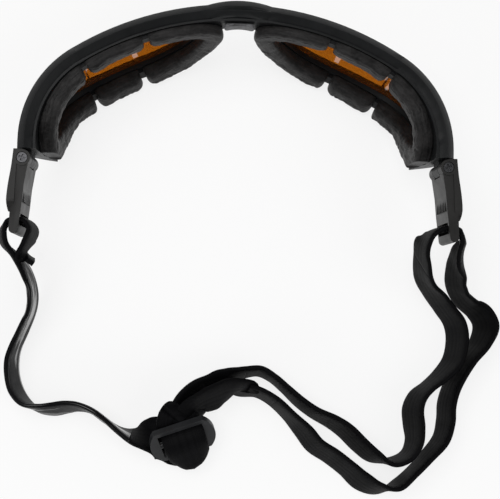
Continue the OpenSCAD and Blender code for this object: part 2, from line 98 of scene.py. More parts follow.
class Nodes:
    """Builds one material's nodes; each method adds a node and returns its output socket."""

    def __init__(self, name: str) -> None:
        """Start an empty material with an output and one principled shader."""
        self.material = bpy.data.materials.new(name)
        self.material.use_nodes = True
        self.tree = self.material.node_tree
        self.tree.nodes.clear()
        self.out = self.tree.nodes.new("ShaderNodeOutputMaterial")
        self.shader = self.tree.nodes.new("ShaderNodeBsdfPrincipled")
        self.tree.links.new(self.shader.outputs[0], self.out.inputs[0])

    def put(self, node: bpy.types.Node, socket: str | int, value: object) -> None:
        """Link a socket to another node's output, or set its value.

        Args:
            node: the node that has the input.
            socket: the input's name or number.
            value: an output socket, a number or a tuple.
        """
        if isinstance(value, Socket):
            self.tree.links.new(value, node.inputs[socket])
        else:
            node.inputs[socket].default_value = value

    def set(self, **values: object) -> None:
        """Set or link the shader's inputs; underscores in a name stand for spaces."""
        for name, value in values.items():
            self.put(self.shader, name.replace("_", " "), value)

    def place(self, scale: tuple[float, ...] = (1, 1, 1), uv: bool = False) -> Socket:
        """Object or UV coordinates, scaled.

        Args:
            scale: factor on each axis.
            uv: whether to read the piece's own UV map.

        Returns:
            The mapped vector.
        """
        source = self.tree.nodes.new("ShaderNodeTexCoord").outputs["UV" if uv else "Object"]
        mapping = self.tree.nodes.new("ShaderNodeMapping")
        self.put(mapping, "Vector", source)
        self.put(mapping, "Scale", scale)
        return mapping.outputs[0]

    def noise(self, vector: Socket, scale: float, detail: float = 3, rough: float = 0.5,
              warp: float = 0) -> Socket:
        """Noise between 0 and 1, with its scale in features for each unit of the vector."""
        node = self.tree.nodes.new("ShaderNodeTexNoise")
        self.put(node, "Vector", vector)
        self.put(node, "Scale", scale)
        self.put(node, "Detail", detail)
        self.put(node, "Roughness", rough)
        self.put(node, "Distortion", warp)
        return node.outputs[0]

    def cells(self, vector: Socket, scale: float, spread: float = 1) -> Socket:
        """Distance to the edges of Voronoi cells, for a leather or cast grain."""
        node = self.tree.nodes.new("ShaderNodeTexVoronoi")
        node.feature = "DISTANCE_TO_EDGE"
        self.put(node, "Vector", vector)
        self.put(node, "Scale", scale)
        self.put(node, "Randomness", spread)
        return node.outputs[0]

    def math(self, what: str, a: object, b: object = 0.0, c: object = 0.0) -> Socket:
        """One arithmetic node, named by Blender's operation."""
        node = self.tree.nodes.new("ShaderNodeMath")
        node.operation = what
        for i, value in enumerate((a, b, c)):
            self.put(node, i, value)
        return node.outputs[0]

    def part_of(self, vector: Socket, axis: str) -> Socket:
        """One component of a vector."""
        node = self.tree.nodes.new("ShaderNodeSeparateXYZ")
        self.put(node, 0, vector)
        return node.outputs[axis]

    def span(self, value: Socket, low: float, high: float, start: float = 0.3,
             end: float = 0.7) -> Socket:
        """Value from start..end carried to low..high and held there."""
        node = self.tree.nodes.new("ShaderNodeMapRange")
        for i, number in enumerate((value, start, end, low, high)):
            self.put(node, i, number)
        return node.outputs[0]

    def tint(self, value: Socket, dark: tuple, light: tuple, start: float = 0.3,
             end: float = 0.7) -> Socket:
        """Colour that runs from dark to light as the value goes from start to end."""
        node = self.tree.nodes.new("ShaderNodeValToRGB")
        self.put(node, 0, value)
        for stop, place, colour in zip(node.color_ramp.elements, (start, end), (dark, light)):
            stop.position = place
            stop.color = (*colour, 1)
        return node.outputs[0]

    def relief(self, height: Socket, depth: float, under: Socket | None = None,
               strength: float = 1.0) -> Socket:
        """Bump whose height of 1 stands this many metres proud.

        Args:
            height: the height, from 0 to 1.
            depth: metres for a height of 1.
            under: another relief that this one lies on.
            strength: share of the bump that shows.

        Returns:
            The bent normal.
        """
        node = self.tree.nodes.new("ShaderNodeBump")
        self.put(node, "Height", height)
        self.put(node, "Distance", depth)
        self.put(node, "Strength", strength)
        if under is not None:
            self.put(node, "Normal", under)
        return node.outputs[0]


@dataclass(frozen=True)
class Finish:
    """A named finish that its own class paints."""

    name: str

    def make(self) -> Material:
        """The finished material."""
        n = Nodes(self.name)
        self.paint(n)
        return n.material

    def paint(self, n: Nodes) -> None:
        """Add the nodes that carry the colour, the roughness and the relief."""
        raise NotImplementedError


@dataclass(frozen=True)
class MouldedPlastic(Finish):
    """Injection-moulded plastic with a spark-eroded grain, faint flow marks and handling polish."""

    colour: tuple[float, float, float]
    roughness: float = 0.42
    skin: Skin = Skin.FINE
    scuffs: float = 0.5
    shine: float = 0.3

    def paint(self, n: Nodes) -> None:
        """Flow marks and scuffs colour it, and a fine grain lies on the flow marks."""
        place = n.place()
        long = n.place((1, 0.18, 1))
        flow = n.noise(place, 90, detail=4, rough=0.6, warp=0.8)
        scuff = n.noise(long, 900, detail=2, rough=0.7)
        grain = n.noise(place, self.skin.value, detail=2, rough=0.6)
        dark = tuple(0.8 * c for c in self.colour)
        light = tuple(1.3 * c + 0.002 for c in self.colour)
        worn = n.math("MULTIPLY_ADD", scuff, 0.35 * self.scuffs, n.math("MULTIPLY", flow, 0.7))
        waves = n.relief(flow, 0.00006, strength=0.3)
        n.set(Base_Color=n.tint(worn, dark, light, start=0.25, end=0.7),
              Roughness=n.span(worn, self.roughness - 0.08, self.roughness + 0.1),
              Normal=n.relief(grain, 0.00002, under=waves, strength=0.5),
              Specular_IOR_Level=self.shine)


@dataclass(frozen=True)
class FoamSkin(Finish):
    """Soft skinned foam, with grain pebbles in each metre, gathers and a dull sheen from rubbing."""

    colour: tuple[float, float, float]
    grain: float = 1500.0

    def paint(self, n: Nodes) -> None:
        """Rubbed spots, specks and gathers colour it, and pebbles lie on the creases."""
        place = n.place()
        along = n.place((0.16, 1.0, 1.0), uv=True)
        pebble = n.cells(place, self.grain, spread=0.9)
        gather = n.noise(along, 0.9, detail=4, rough=0.55, warp=1.1)
        rub = n.noise(place, 160, detail=4, rough=0.6, warp=0.5)
        speck = n.noise(place, 1100, detail=3, rough=0.7)
        dark = tuple(0.35 * c for c in self.colour)
        light = tuple(2.6 * c for c in self.colour)
        tone = n.math("ADD", n.math("MULTIPLY_ADD", rub, 0.45, n.math("MULTIPLY", speck, 0.3)),
                      n.math("MULTIPLY", gather, 0.25))
        dents = n.relief(rub, 0.0006, strength=0.5)
        creases = n.relief(gather, 0.0006, under=dents, strength=0.7)
        n.set(Base_Color=n.tint(tone, dark, light, start=0.4, end=0.62),
              Roughness=n.span(tone, 0.4, 0.58),
              Normal=n.relief(pebble, 0.0001, under=creases, strength=0.6),
              Sheen_Weight=0.03, Sheen_Roughness=0.5, Specular_IOR_Level=0.16)


@dataclass(frozen=True)
class Webbing(Finish):
    """Knitted elastic webbing, with ribs along it and picks across it, read from the strap's own UV map.

    The map holds millimetres: u along the strap and v around its section. rib and pick are the widths of
    one rib and one pick in millimetres, depth is the knit's relief in metres, and gloss is how strongly the
    smooth face reflects in streaks.
    """

    colour: tuple[float, float, float]
    roughness: float
    rib: float = 1.25
    pick: float = 0.55
    depth: float = 0.00011
    shine: float = 0.05
    gloss: float = 0.0

    def paint(self, n: Nodes) -> None:
        """Rows of stitches from sines of the map, with fuzz, wear and, on the smooth face, streaks."""
        uv = n.place(uv=True)
        u, v = n.part_of(uv, "X"), n.part_of(uv, "Y")
        ribs = n.math("SINE", n.math("MULTIPLY", v, 2 * math.pi / self.rib))
        turn = n.math("MULTIPLY", n.math("SIGN", ribs), math.pi / 2)
        picks = n.math("SINE", n.math("MULTIPLY_ADD", u, 2 * math.pi / self.pick, turn))
        knit = n.math("MULTIPLY_ADD", picks, 0.2, n.math("MULTIPLY", n.math("ABSOLUTE", ribs), 0.6))
        fuzz = n.noise(uv, 3.5, detail=3, rough=0.7)
        wear = n.noise(uv, 0.12, detail=3, rough=0.6)
        tone = n.math("ADD", n.math("MULTIPLY", knit, 0.35), n.math("MULTIPLY", wear, 0.5))
        dark = tuple(0.5 * c for c in self.colour)
        light = tuple(1.7 * c for c in self.colour)
        yarns = n.relief(knit, self.depth, strength=0.6)
        n.set(Base_Color=n.tint(tone, dark, light, start=0.15, end=0.62),
              Roughness=n.span(wear, self.roughness - 0.07, self.roughness + 0.08),
              Normal=n.relief(fuzz, 0.00004, under=yarns, strength=0.35),
              Specular_IOR_Level=self.shine)
        if self.gloss:
            long = n.place((0.037, 0.55, 1), uv=True)
            streaks = n.noise(long, 1, detail=3, rough=0.6, warp=0.6)
            n.set(Coat_Weight=n.span(streaks, 0, self.gloss, start=0.53, end=0.6), Coat_Roughness=0.1)


@dataclass(frozen=True)
class AmberLens(Finish):
    """Amber polycarbonate with a hard coat, faintly deeper towards the brow."""

    name: str = "amber_lens"
    clear: tuple[float, float, float] = (0.55, 0.165, 0.007)
    deep: tuple[float, float, float] = (0.36, 0.09, 0.004)

    def paint(self, n: Nodes) -> None:
        """The colour deepens with height, and faint smears vary the roughness."""
        place = n.place()
        height = n.part_of(place, "Z")
        smear = n.noise(place, 70, detail=4, rough=0.6, warp=1.2)
        fade = n.math("MULTIPLY_ADD", smear, 0.12, n.math("MULTIPLY", height, 24.0))
        n.set(Base_Color=n.tint(fade, self.clear, self.deep, start=0.2, end=0.95),
              Roughness=n.span(smear, 0.01, 0.05),
              Normal=n.relief(smear, 0.00002, strength=0.06),
              Transmission_Weight=0.88, IOR=1.58, Coat_Weight=0.4, Coat_Roughness=0.03)


@dataclass(frozen=True)
class TurnedSteel(Finish):
    """Blackened steel screw with fine tool marks."""

    colour: tuple[float, float, float]

    def paint(self, n: Nodes) -> None:
        """Tool marks run along the screw's axis, and stains darken it."""
        place = n.place((1, 1, 0.2))
        marks = n.noise(place, 4200, detail=2, rough=0.7)
        stain = n.noise(place, 700, detail=3, rough=0.6)
        dark = tuple(0.6 * c for c in self.colour)
        n.set(Base_Color=n.tint(stain, dark, self.colour),
              Roughness=n.span(marks, 0.24, 0.45),
              Normal=n.relief(marks, 0.00002, strength=0.5), Metallic=0.9)


@dataclass
class Finishes:
    """Every finish of the goggles, made once."""

    shell: Material = field(default_factory=lambda: MouldedPlastic(
        "frame_shell", (0.009, 0.0095, 0.01), 0.4, shine=0.09).make())
    carrier: Material = field(default_factory=lambda: MouldedPlastic(
        "gasket_carrier", (0.005, 0.005, 0.0055), 0.5, Skin.COARSE, shine=0.08).make())
    arm: Material = field(default_factory=lambda: MouldedPlastic(
        "arm_plastic", (0.016, 0.0155, 0.015), 0.38, Skin.COARSE, scuffs=0.8, shine=0.12).make())
    slider: Material = field(default_factory=lambda: MouldedPlastic(
        "slider_plastic", (0.018, 0.0185, 0.02), 0.36, Skin.FINE, scuffs=0.8, shine=0.2).make())
    pads: Material = field(default_factory=lambda: FoamSkin(
        "pad_skin", (0.009, 0.0085, 0.0085)).make())
    nose: Material = field(default_factory=lambda: FoamSkin(
        "nose_skin", (0.075, 0.075, 0.078), grain=2600).make())
    webbing_face: Material = field(default_factory=lambda: Webbing(
        "webbing_face", (0.0022, 0.0022, 0.0027), 0.45, depth=0.00004, shine=0.04, gloss=0.9).make())
    webbing_back: Material = field(default_factory=lambda: Webbing(
        "webbing_back", (0.0024, 0.0024, 0.0028), 0.6).make())
    lens: Material = field(default_factory=lambda: AmberLens().make())
    screw: Material = field(default_factory=lambda: TurnedSteel(
        "screw_steel", (0.05, 0.05, 0.053)).make())


# Surfaces


def spline(points: np.ndarray, steps: int) -> np.ndarray:
    """Open smooth curve through control points: Catmull-Rom, with the end points repeated.

    Args:
        points: one control point a row, with any number of columns.
        steps: samples for each stretch.

    Returns:
        The samples, with the last control point at the end.
    """
    pts = np.asarray(points, float)
    wide = np.vstack([pts[:1], pts, pts[-1:]])
    a, b, c, d = (wide[k:len(wide) - 3 + k, None, :] for k in range(4))
    t = (np.arange(steps) / steps)[None, :, None]
    rows = 0.5 * (2 * b + (c - a) * t + (2 * a - 5 * b + 4 * c - d) * t ** 2
                  + (3 * b - a - 3 * c + d) * t ** 3)
    return np.vstack([rows.reshape(-1, pts.shape[1]), pts[-1:]])


def unit(v: np.ndarray) -> np.ndarray:
    """Vectors scaled to length 1 along their last axis."""
    return v / np.maximum(np.linalg.norm(v, axis=-1, keepdims=True), 1e-12)


def squared(v: np.ndarray, power: float) -> np.ndarray:
    """A sine or cosine pushed out towards 1 and -1: its sign times its size to a power below 1."""
    return np.sign(v) * np.abs(v) ** power


def placed(points: np.ndarray) -> np.ndarray:
    """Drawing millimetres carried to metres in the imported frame."""
    return (np.asarray(points, float) - CENTRE) * MM


def linked(name: str, data: bpy.types.ID) -> Piece:
    """A new object with this data, linked to the scene."""
    piece = bpy.data.objects.new(name, data)
    bpy.context.scene.collection.objects.link(piece)
    return piece


def skin_mesh(name: str, grid: np.ndarray, u: np.ndarray, v: np.ndarray) -> Piece:
    """A closed mesh over a grid of points: each row is a closed ring, and the end rows are capped by fans.

    Args:
        name: the piece's name.
        grid: rows x columns x 3 points in drawing millimetres.
        u: map coordinate of each row.
        v: map coordinate of each column, with one more value for the way back to the first.

    Returns:
        The piece, smooth shaded, with its faces pointing outwards.
    """
    rows, cols = grid.shape[:2]
    points = placed(grid.reshape(-1, 3))
    i, j = np.meshgrid(np.arange(rows - 1), np.arange(cols), indexing="ij")
    i, j = i.ravel(), j.ravel()
    right, below = (j + 1) % cols, i + 1
    quads = np.stack([i * cols + j, i * cols + right, below * cols + right, below * cols + j], axis=1)
    quad_uv = np.stack([u[i], v[j], u[i], v[j + 1], u[below], v[j + 1], u[below], v[j]], axis=1)
    quad_uv = quad_uv.reshape(-1, 4, 2)
    points = np.vstack([points, points[:cols].mean(0), points[-cols:].mean(0)])
    k = np.arange(cols)
    nxt = (k + 1) % cols
    base = (rows - 1) * cols
    first = np.stack([np.full(cols, rows * cols), nxt, k], axis=1)
    last = np.stack([np.full(cols, rows * cols + 1), base + k, base + nxt], axis=1)
    fans = np.vstack([first, last])
    ends = np.repeat([u[0], u[-1]], cols)
    columns = np.tile(k, 2)
    mid = np.full(2 * cols, v.mean())
    fan_uv = np.stack([ends, mid, ends, v[columns + 1], ends, v[columns]], axis=1).reshape(-1, 3, 2)
    tris = np.vstack([quads[:, [0, 1, 2]], quads[:, [0, 2, 3]], fans])
    corners = points[tris]
    volume = np.einsum("ij,ij->i", corners[:, 0], np.cross(corners[:, 1], corners[:, 2])).sum()
    if volume < 0:
        quads, quad_uv, fans, fan_uv = quads[:, ::-1], quad_uv[:, ::-1], fans[:, ::-1], fan_uv[:, ::-1]
    mesh = bpy.data.meshes.new(name)
    mesh.from_pydata(points.tolist(), [], quads.tolist() + fans.tolist())
    layer = mesh.uv_layers.new(name="surface")
    layer.data.foreach_set("uv", np.concatenate([quad_uv.ravel(), fan_uv.ravel()]).astype(np.float32))
    mesh.polygons.foreach_set("use_smooth", np.ones(len(mesh.polygons), bool))
    mesh.update()
    return linked(name, mesh)


def softened(name: str, node: str, edge: float, angle: float = 32.0) -> Piece:
    """A merged copy of a CAD node whose sharp edges are rounded, as a mould leaves them.

    Args:
        name: the new piece's name.
        node: the CAD node that is copied.
        edge: width of the rounding in millimetres.
        angle: edges sharper than this many degrees are rounded.

    Returns:
        The copy, at the origin.
    """
    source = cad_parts[node]
    shape = bmesh.new()
    shape.from_mesh(source.data)
    bmesh.ops.remove_doubles(shape, verts=shape.verts, dist=MERGE)
    bmesh.ops.dissolve_degenerate(shape, edges=shape.edges, dist=SPECK)
    bmesh.ops.dissolve_limit(shape, verts=shape.verts, edges=shape.edges, angle_limit=math.radians(FLAT))
    mesh = bpy.data.meshes.new(name)
    shape.to_mesh(mesh)
    shape.free()
    mesh.polygons.foreach_set("use_smooth", np.ones(len(mesh.polygons), bool))
    mesh.set_sharp_from_angle(angle=math.radians(angle))
    piece = linked(name, mesh)
    bevel = piece.modifiers.new("rounded edges", "BEVEL")
    bevel.limit_method = "ANGLE"
    bevel.angle_limit = math.radians(angle)
    bevel.width = edge * MM
    bevel.segments = 2
    bevel.harden_normals = True
    bevel.use_clamp_overlap = True
    return piece


def dress(piece: Piece, finish: Material, slot: str, body: str | None, *nodes: str) -> None:
    """Give a piece its finish and the body that it rides on, and hide the CAD nodes it stands for.

    Args:
        piece: the piece.
        finish: its material.
        slot: name of a material slot; not used.
        body: the body that it rides on, or None for a piece that lies between two bodies and is attached to
            neither.
        nodes: the CAD nodes that it replaces.
    """
    piece.data.materials.clear()
    piece.data.materials.append(finish)
    if nodes:
        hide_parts(*nodes)
    if body:
        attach(piece, body)
    log.info("piece %s rides on %s", piece.name, body or "two bodies")


# Frame and lenses


@dataclass
class FrameShell:
    """The moulded front: its plan curve, its leaning face and the pieces seated in it.

    The face leans back by lean for each millimetre of height, and bulges on upright_radius about the share
    middle of the height. setback is the face's depth behind the plan curve, and arch_front how far the soft
    arch stands behind the shell. The edges are the widths of the roundings.
    """

    front_radius: float = 102.0
    front_angle: float = 33.0
    temple_radius: float = 37.0
    height: float = 40.0
    depth: float = 5.0
    lean: float = 0.1
    upright_radius: float = 140.0
    middle: float = 0.6
    setback: float = 0.4
    arch_front: float = 1.75
    edge: float = 0.28
    lens_edge: float = 0.12

    def plan(self, s: np.ndarray, d: np.ndarray) -> np.ndarray:
        """Points of the right half seen from above.

        The curve is an arc of front_radius up to front_angle, then an arc of temple_radius up to a right
        angle, then a straight run towards the rear. s is the length along it and d the depth behind it.

        Args:
            s: length along the frame from the nose, in millimetres.
            d: depth behind the outer face, in millimetres.

        Returns:
            x and y in the last axis.
        """
        turn = math.radians(self.front_angle)
        front = self.front_radius * turn
        bend = self.temple_radius * (math.pi / 2 - turn)
        cx = (self.front_radius - self.temple_radius) * math.sin(turn)
        cy = -self.front_radius + (self.front_radius - self.temple_radius) * math.cos(turn)
        a = s / self.front_radius
        b = turn + (s - front) / self.temple_radius
        x = np.where(s <= front, (self.front_radius - d) * np.sin(a),
                     np.where(s <= front + bend, cx + (self.temple_radius - d) * np.sin(b),
                              cx + self.temple_radius - d))
        y = np.where(s <= front, -self.front_radius + (self.front_radius - d) * np.cos(a),
                     np.where(s <= front + bend, cy + (self.temple_radius - d) * np.cos(b),
                              cy - (s - front - bend)))
        return np.stack([x, y], axis=-1)

    def rear_depth(self, z: np.ndarray) -> np.ndarray:
        """Depth of the rear face at a height: it leans back and is gently curved."""
        bulge = (z - self.middle * self.height) ** 2 / (2 * self.upright_radius)
        return self.lean * (self.height - z) + bulge + self.setback + self.depth

    def build(self, finishes: Finishes) -> None:
        """Make the shell, the lenses and the soft arch behind the bridge."""
        dress(softened("frame_shell", "frame_front", self.edge), finishes.shell, "frame_black", "goggle",
              "frame_front")
        for side in Side:
            lens = softened(f"amber_lens_{side.word}", f"lens_{side.word}", self.lens_edge)
            dress(lens, finishes.lens, "lens_amber", "goggle", f"lens_{side.word}")
        NoseArch(front=-self.depth - self.arch_front).build(finishes)


@dataclass
class NoseArch:
    """The small soft arch behind the bridge, between the nose pads.

    front is the y of its front face. Its rear face is an arc of a radius about centre_y, middle_z is the
    height of its middle, and girth is the length round its section.
    """

    front: float
    half_width: float = 5.1
    radius: float = 14.4
    centre_y: float = -22.0
    middle_z: float = 34.9
    half_height: float = 3.05
    girth: float = 18.0
    rows: int = 40
    columns: int = 28

    def build(self, finishes: Finishes) -> None:
        """Carry a rounded section across the nose.

        The rear edge is the arc and the front edge is straight, so the section's depth grows towards the
        ends. The section shrinks at each end by the root of 1 minus the tenth power of the share of the
        half-width.
        """
        x = np.linspace(-self.half_width, self.half_width, self.rows)
        rear = self.centre_y + np.sqrt(self.radius ** 2 - x ** 2)
        a = np.linspace(0, 2 * np.pi, self.columns + 1)[:-1]
        ends = np.sqrt(np.clip(1 - (np.abs(x) / self.half_width) ** 10, 0.02, 1))[:, None]
        mid, half = (rear + self.front) / 2, (self.front - rear) / 2
        y = mid[:, None] + half[:, None] * ends * squared(np.cos(a), 0.5)
        z = self.middle_z + self.half_height * ends * squared(np.sin(a), 0.45)
        grid = np.stack([np.broadcast_to(x[:, None], y.shape), y, z], axis=-1)
        piece = skin_mesh("nose_arch", grid, x, np.linspace(0, self.girth, self.columns + 1))
        dress(piece, finishes.nose, "nose_rubber", "goggle", "nose_bridge_pad")


# Gasket


@dataclass
class Pad:
    """One stretch of the gasket: its start and end on the path, its surface's rows and its random seed."""

    name: str
    start: float
    end: float
    rows: int
    seed: int


@dataclass
class Gasket:
    """Foam pads bonded to a thin carrier round each eye.

    A pad stands top proud at the brow and bottom proud below, and the thinning at the brow fades out
    between thin_from and thin_to along the frame. below_top is how far the brow's part of the path lies
    below the frame's top. gap is the space under a pad's edges, and the channel over the carrier is twice
    channel_half wide. rounding is the length of a rounded end on the path, and end_cover the foam over the
    channel there. At the temple, from fade_from to fade_to, a pad stands temple prouder and its outer side
    reaches up to lap_most further. No pad passes the frame's end, except by overhang below the height
    arm_foot, and none goes below the height lowest. The last four are shares of a pad's height.
    """

    shell: FrameShell
    width: float = 7.6
    top: float = 3.8
    bottom: float = 5.5
    thin_from: float = 50.0
    thin_to: float = 62.0
    below_top: float = 4.0
    gap: float = 0.3
    channel_half: float = 2.55
    channel_top: float = 1.7
    rounding: float = 0.24
    end_cover: float = 0.6
    columns: int = 56
    end: float = 98.5
    overhang: float = 1.5
    arm_foot: float = 18.5
    lowest: float = 1.0
    temple: float = 0.3
    fade_from: float = 78.0
    fade_to: float = 90.0
    lap_most: float = 3.6
    wave_share: float = 0.014
    gather_share: float = 0.014
    fold_share: float = 0.07
    ridge_share: float = 0.045
    path: tuple[tuple[float, float], ...] = (
        (9.6, 31), (15.5, 34.6), (27, 35.4), (42, 35.4), (58, 35.2), (73, 34.4), (87, 32.8), (94.6, 28.4),
        (93.4, 22), (85, 15), (72, 9), (60, 5.8), (46, 5), (33, 6), (23.5, 9.8), (16.5, 15.8), (11.6, 23))
    pads: tuple[Pad, ...] = (
        Pad("pad_nose", -4.38, 2.42, 150, 1), Pad("pad_brow", 2.58, 3.96, 48, 2),
        Pad("pad_temple", 4.1, 10.86, 150, 3), Pad("pad_cheek", 11.04, 12.46, 48, 4))

    def along(self, t: np.ndarray) -> np.ndarray:
        """Point [s, height] of the closed path at parameter t: a Catmull-Rom curve through its points."""
        pts = np.array(self.path)
        i = np.floor(t).astype(int)
        f = (t - i)[:, None]
        a, b, c, d = (pts[(i + k) % len(pts)] for k in (-1, 0, 1, 2))
        return 0.5 * (2 * b + (c - a) * f + (2 * a - 5 * b + 4 * c - d) * f ** 2
                      + (3 * b - a - 3 * c + d) * f ** 3)

    def section(self) -> tuple[np.ndarray, np.ndarray]:
        """Half-width and height of the pad's outer skin, both as shares, from one base edge to the other.

        Upright sides that draw in a little to the base carry a full crown: |cos|^0.7 across, and 0.5 plus
        0.5 sin^0.62 up.

        Returns:
            Sideways and height factors for each column.
        """
        a = np.linspace(math.pi, 0, self.columns)
        crown_out = squared(np.cos(a), 0.7)
        crown_up = 0.5 + 0.5 * np.abs(np.sin(a)) ** 0.62
        side_up = np.linspace(0, 0.5, 7)[:-1]
        side_out = 0.9 + 0.1 * np.sin(np.pi * side_up)
        out = np.concatenate([-side_out, crown_out, side_out[::-1]])
        return out, np.concatenate([side_up, crown_up, side_up[::-1]])

    def pad_height(self, centre: np.ndarray) -> np.ndarray:
        """How far the pad stands out of the frame: less towards the brow, except at the temple."""
        inner = np.clip((self.thin_to - centre[:, 0]) / (self.thin_to - self.thin_from), 0, 1)
        brow = self.shell.height - self.below_top
        lower = self.bottom + (self.top - self.bottom) * inner * centre[:, 1] / brow
        return lower + self.temple * self.near_end(centre[:, 0])

    def near_end(self, s: np.ndarray) -> np.ndarray:
        """0 away from the temple and 1 at it, with a smooth rise f squared times 3 minus 2f between."""
        f = np.clip((s - self.fade_from) / (self.fade_to - self.fade_from), 0, 1)
        return f * f * (3 - 2 * f)

    def lap(self, centre: np.ndarray, across: np.ndarray) -> np.ndarray:
        """How much further the pad's outer side reaches at the temple, where it covers the frame's end."""
        room = (self.end + self.overhang - centre[:, :1]) / np.maximum(across[:, :1], 0.2) - self.width / 2
        down = np.clip(1 - 2 * across[:, 1:], 0, 1)
        return np.clip(room, 0, self.lap_most) * down * self.near_end(centre[:, :1])

    def surface(self, pad: Pad, side: Side) -> Piece:
        """One pad as a surface: the section carried along the path and rounded off at both ends.

        The underside has a channel that fits over the carrier. Slow waves and faint gathers push the skin
        out and in by a few hundredths of a millimetre, and shallow folds cross the crown here and there.

        Args:
            pad: which pad.
            side: which eye.

        Returns:
            The piece.
        """
        rng = np.random.default_rng(pad.seed * 7 + (side is Side.LEFT))
        ease = self.rounding * np.append(1 - np.cos(np.linspace(0, np.pi / 2, 9)[:-1]), 1)
        inner = np.linspace(pad.start + self.rounding, pad.end - self.rounding, pad.rows)[1:-1]
        t = np.concatenate([pad.start + ease, inner, pad.end - ease[::-1]])
        near = np.clip(np.minimum(t - pad.start, pad.end - t) / self.rounding, 0, 1)
        taper = np.sqrt(1 - (1 - near) ** 2)[:, None]
        centre = self.along(t)
        step = self.along(t + 0.05) - self.along(t - 0.05)
        across = unit(np.stack([-step[:, 1], step[:, 0]], axis=1))
        length = np.concatenate([[0], np.cumsum(np.linalg.norm(np.diff(centre, axis=0), axis=1))])
        out, up = self.section()
        end_height = self.channel_top + self.end_cover
        height = end_height + (self.pad_height(centre)[:, None] - end_height) * taper
        swell = self.swell(rng, length[:, None], out, up) * taper
        half = self.width / 2 + np.where(out > 0, self.lap(centre, across), 0)
        crown_side = out * half * (0.84 + 0.16 * taper) * (1 + 0.4 * swell)
        crown_rise = self.gap + up * (height - self.gap) * (1 + swell)
        floor = np.linspace(self.channel_half, -self.channel_half, 7)
        channel_side = np.concatenate([floor[:1], floor, floor[-1:]])
        channel_rise = np.concatenate([[self.gap], np.full(7, self.channel_top), [self.gap]])
        sideways = np.hstack([crown_side, np.broadcast_to(channel_side, (len(t), 9))])
        proud = np.hstack([crown_rise, np.broadcast_to(channel_rise, (len(t), 9))])
        z = np.maximum(centre[:, 1:] + sideways * across[:, 1:], self.lowest)
        limit = self.end + self.overhang * np.clip((self.arm_foot - z) / 2, 0, 1)
        s = np.minimum(centre[:, :1] + sideways * across[:, :1], limit)
        xy = self.shell.plan(s, self.shell.rear_depth(z) + proud)
        grid = np.concatenate([xy * [side.value, 1], z[..., None]], axis=-1)
        mean_height = 5
        arc = np.hypot(np.diff(out) * self.width / 2, np.diff(up) * mean_height)
        girth = np.concatenate([[0], np.cumsum(arc)])
        girth = np.append(girth, girth[-1] + np.linspace(self.gap, self.width, 10))
        return skin_mesh(f"{pad.name}_foam_{side.word}", grid, length, girth)

    def swell(self, rng: np.random.Generator, u: np.ndarray, out: np.ndarray,
              up: np.ndarray) -> np.ndarray:
        """Share by which the skin stands out or in.

        It is the sum of three slow sines, faint gathers in a bell at each shoulder, one ridge along the
        crown that is pinched here and there, and slanting folds, each a narrow bell along the pad.

        Args:
            rng: the pad's own random numbers.
            u: length along the pad in millimetres, as a column.
            out: sideways factor of each column of the section.
            up: height factor of each column of the section.

        Returns:
            rows x columns shares, about -0.14 to 0.08.
        """
        phase = rng.uniform(0, 2 * np.pi, 6)
        slow = zip((0.3, 0.55, 0.9), phase, (1, -2, 3))
        waves = sum(np.sin(u * f + p + 1.2 * out * k) for f, p, k in slow)
        gathers = np.sin(u * 2.1 + phase[3] + 2.0 * np.sin(u * 0.4 + phase[4]) + 2.0 * out)
        shoulder = np.exp(-((np.abs(out) - 0.75) / 0.3) ** 2)
        ridge = np.exp(-((out - 0.35 - 0.12 * np.sin(u * 0.35 + phase[5])) / 0.1) ** 2)
        folds = np.zeros_like(waves)
        for place in rng.uniform(3, float(u.max()) - 3, max(1, int(u.max() / 14))):
            slant, reach = rng.uniform(-1.6, 1.6), rng.uniform(0.3, 0.7)
            folds += np.exp(-((u - place - slant * out) / 0.5) ** 2) * np.exp(-((out - reach) / 0.6) ** 2)
        pinches = 0.6 + 0.4 * np.sin(u * 1.3 + phase[3])
        return (self.wave_share * waves + self.gather_share * gathers * shoulder - self.fold_share * folds
                + self.ridge_share * ridge * pinches) * up

    def build(self, finishes: Finishes) -> None:
        """Make every pad and dress the carriers."""
        for side in Side:
            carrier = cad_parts[f"gasket_carrier_{side.word}"]
            carrier.data.materials.clear()
            carrier.data.materials.append(finishes.carrier)
            for pad in self.pads:
                piece = self.surface(pad, side)
                dress(piece, finishes.pads, "pad_cover", "goggle", f"{pad.name}_{side.word}")


# Arms


@dataclass
class StrapArms:
    """The two folding arms and their screws."""

    edge: float = 0.3
    screw_edge: float = 0.1

    def build(self, finishes: Finishes) -> None:
        """Round the arms' edges as moulded and dress the screws."""
        for side in Side:
            body = f"{side.word}_arm"
            arm = softened(f"strap_arm_{side.word}", f"arm_{side.word}", self.edge)
            dress(arm, finishes.arm, "arm_black", body, f"arm_{side.word}")
            screw = softened(f"screw_{side.word}", f"hinge_screw_{side.word}", self.screw_edge)
            dress(screw, finishes.screw, "screw_steel", body, f"hinge_screw_{side.word}")


# Strap and slider


@dataclass
class SliderPlace:
    """Where the slider hangs, and its own axes: along the strap, out of its face and across.

    turn and tilt are degrees. shift is how far the webbing sits across from the slider's middle.
    """

    at: tuple[float, float, float] = (-16.4, -146.6, 12.0)
    turn: float = 19.0
    tilt: float = 45.0
    shift: float = 0.6

    def point(self, along: float, out: float, bulge: float = 0.0) -> list[float]:
        """A route point in the slider's own axes, with the webbing's width across the slider."""
        turn, tilt = math.radians(self.turn), math.radians(self.tilt)
        reach = along * math.cos(tilt) + out * math.sin(tilt)
        x = self.at[0] + reach * math.sin(turn) + self.shift * math.cos(turn)
        y = self.at[1] - reach * math.cos(turn) + self.shift * math.sin(turn)
        z = self.at[2] + out * math.cos(tilt) - along * math.sin(tilt)
        return [x, y, z, 180 + self.turn, 0.0, bulge]


